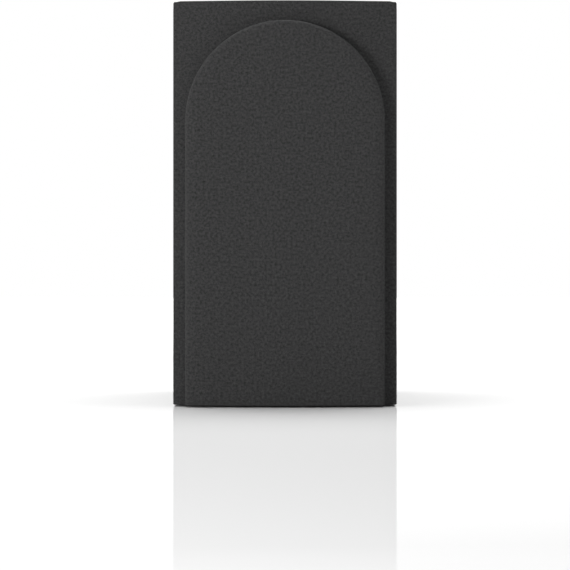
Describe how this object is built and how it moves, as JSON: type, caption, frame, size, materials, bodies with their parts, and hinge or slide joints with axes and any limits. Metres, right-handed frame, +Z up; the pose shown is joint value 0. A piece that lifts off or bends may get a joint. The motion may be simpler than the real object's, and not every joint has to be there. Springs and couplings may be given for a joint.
{
  "type": "bookshelf speaker",
  "caption": "Compact two-way bookshelf speaker with a black cabinet, a removable bowed cloth grille with a raised arch, drive units behind it, a rear port and screw-down terminals.",
  "frame": {"origin": "on the surface that the speaker stands on, under the middle of its overall width and depth", "axes": "+X to the listener's right as they face the grille, +Y back through the cabinet so that the grille faces -Y, +Z up"},
  "size_m": [0.2, 0.2935, 0.361],
  "materials": {
    "black_ash_vinyl": "black wood-grain vinyl wrapped over fibreboard",
    "painted_fibreboard": "black painted fibreboard",
    "bare_fibreboard": "bare fibreboard",
    "grille_cloth": "fine charcoal knitted acoustic cloth",
    "black_moulding": "fine satin-textured black moulding",
    "black_rubber": "matt black rubber",
    "grey_foam": "open-cell grey foam",
    "cast_basket": "die-cast, black textured powder coat",
    "cone_paper": "coated black paper pulp",
    "spider_cloth": "resin-dipped yellow-brown cloth",
    "silk": "coated black silk",
    "zinc_steel": "bright zinc plate",
    "ferrite": "sintered ferrite, matt dark grey",
    "copper": "enamelled copper wire",
    "kapton": "amber polyimide film",
    "black_screw": "black zinc screws",
    "gold_plate": "gold-plated brass",
    "red_knob": "red translucent-looking gloss plastic",
    "black_knob": "black gloss plastic",
    "board": "green glass-fibre circuit board",
    "capacitor_yellow": "yellow film wrap with epoxy ends",
    "capacitor_blue": "blue heat-shrunk sleeve",
    "cement": "white cement",
    "lead_insulation": "red and black PVC insulation"
  },
  "bodies": {
    "cabinet": {"side_panel_left": "black_ash_vinyl", "side_panel_right": "black_ash_vinyl", "top_panel": "black_ash_vinyl", "bottom_panel": "black_ash_vinyl", "rear_panel": "painted_fibreboard", "front_baffle": "painted_fibreboard", "window_brace": "bare_fibreboard", "damping_side_pads": "grey_foam", "damping_rear_pad": "grey_foam", "rubber_feet": "black_rubber", "grille_sockets": "black_rubber", "woofer_basket": "cast_basket", "woofer_front_plate": "zinc_steel", "woofer_magnet": "ferrite", "woofer_yoke": "zinc_steel", "woofer_spider": "spider_cloth", "woofer_surround": "black_rubber", "woofer_trim_ring": "black_moulding", "woofer_seal": "grey_foam", "woofer_terminal_strip": "kapton", "woofer_screws": "black_screw", "tweeter_faceplate": "black_moulding", "tweeter_surround": "silk", "tweeter_front_plate": "zinc_steel", "tweeter_magnet": "ferrite", "tweeter_yoke": "zinc_steel", "tweeter_rear_chamber": "black_moulding", "tweeter_seal": "grey_foam", "tweeter_screws": "black_screw", "port_flare": "black_moulding", "port_tube": "black_moulding", "terminal_cup": "black_moulding", "terminal_seal": "grey_foam", "terminal_screws": "black_screw", "post_studs": "gold_plate", "post_collars": "black_knob", "post_nuts": "zinc_steel", "crossover_board": "board", "board_standoffs": "black_moulding", "board_screws": "zinc_steel", "choke_woofer": "copper", "choke_tweeter": "copper", "capacitor_film": "capacitor_yellow", "capacitor_electrolytic": "capacitor_blue", "crossover_resistor": "cement", "internal_leads": "lead_insulation"},
    "grille": {"grille_frame": "black_moulding", "grille_cloth": "grille_cloth", "grille_pegs": "black_moulding"},
    "woofer_diaphragm": {"woofer_cone": "cone_paper", "woofer_dust_cap": "cone_paper", "woofer_coil_former": "kapton", "woofer_voice_coil": "copper"},
    "tweeter_diaphragm": {"tweeter_dome": "silk", "tweeter_coil_former": "kapton", "tweeter_voice_coil": "copper"},
    "washer_red": {"post_washer_red": "gold_plate"},
    "knob_red": {"post_knob_red": "red_knob"},
    "washer_black": {"post_washer_black": "gold_plate"},
    "knob_black": {"post_knob_black": "black_knob"}
  },
  "joints": [
    {"name": "grille_pull", "type": "slide", "parent": "cabinet", "child": "grille", "axis": [0, -1, 0], "range_m": [0, 0.06]},
    {"name": "woofer_stroke", "type": "slide", "parent": "cabinet", "child": "woofer_diaphragm", "axis": [0, -1, 0], "range_m": [-0.005, 0.005], "stiffness_N_per_m": 1200, "deforming": ["woofer_surround", "woofer_spider"]},
    {"name": "tweeter_stroke", "type": "slide", "parent": "cabinet", "child": "tweeter_diaphragm", "axis": [0, -1, 0], "range_m": [-0.0005, 0.0005], "stiffness_N_per_m": 2000, "deforming": ["tweeter_surround"]},
    {"name": "washer_red_travel", "type": "slide", "parent": "cabinet", "child": "washer_red", "axis": [0, 1, 0], "range_m": [0, 0.00401]},
    {"name": "knob_red_turn", "type": "hinge", "parent": "washer_red", "child": "knob_red", "pos_m": [-0.0095, 0.12255, 0.079], "axis": [0, 1, 0], "range_deg": [0, 1440]},
    {"name": "washer_black_travel", "type": "slide", "parent": "cabinet", "child": "washer_black", "axis": [0, 1, 0], "range_m": [0, 0.00401]},
    {"name": "knob_black_turn", "type": "hinge", "parent": "washer_black", "child": "knob_black", "pos_m": [0.0095, 0.12255, 0.079], "axis": [0, 1, 0], "range_deg": [0, 1440]}
  ],
  "couplings": [
    {"joint": "washer_red_travel", "follows": "knob_red_turn", "m_per_rad": 0.00015915},
    {"joint": "washer_black_travel", "follows": "knob_black_turn", "m_per_rad": 0.00015915}
  ]
}
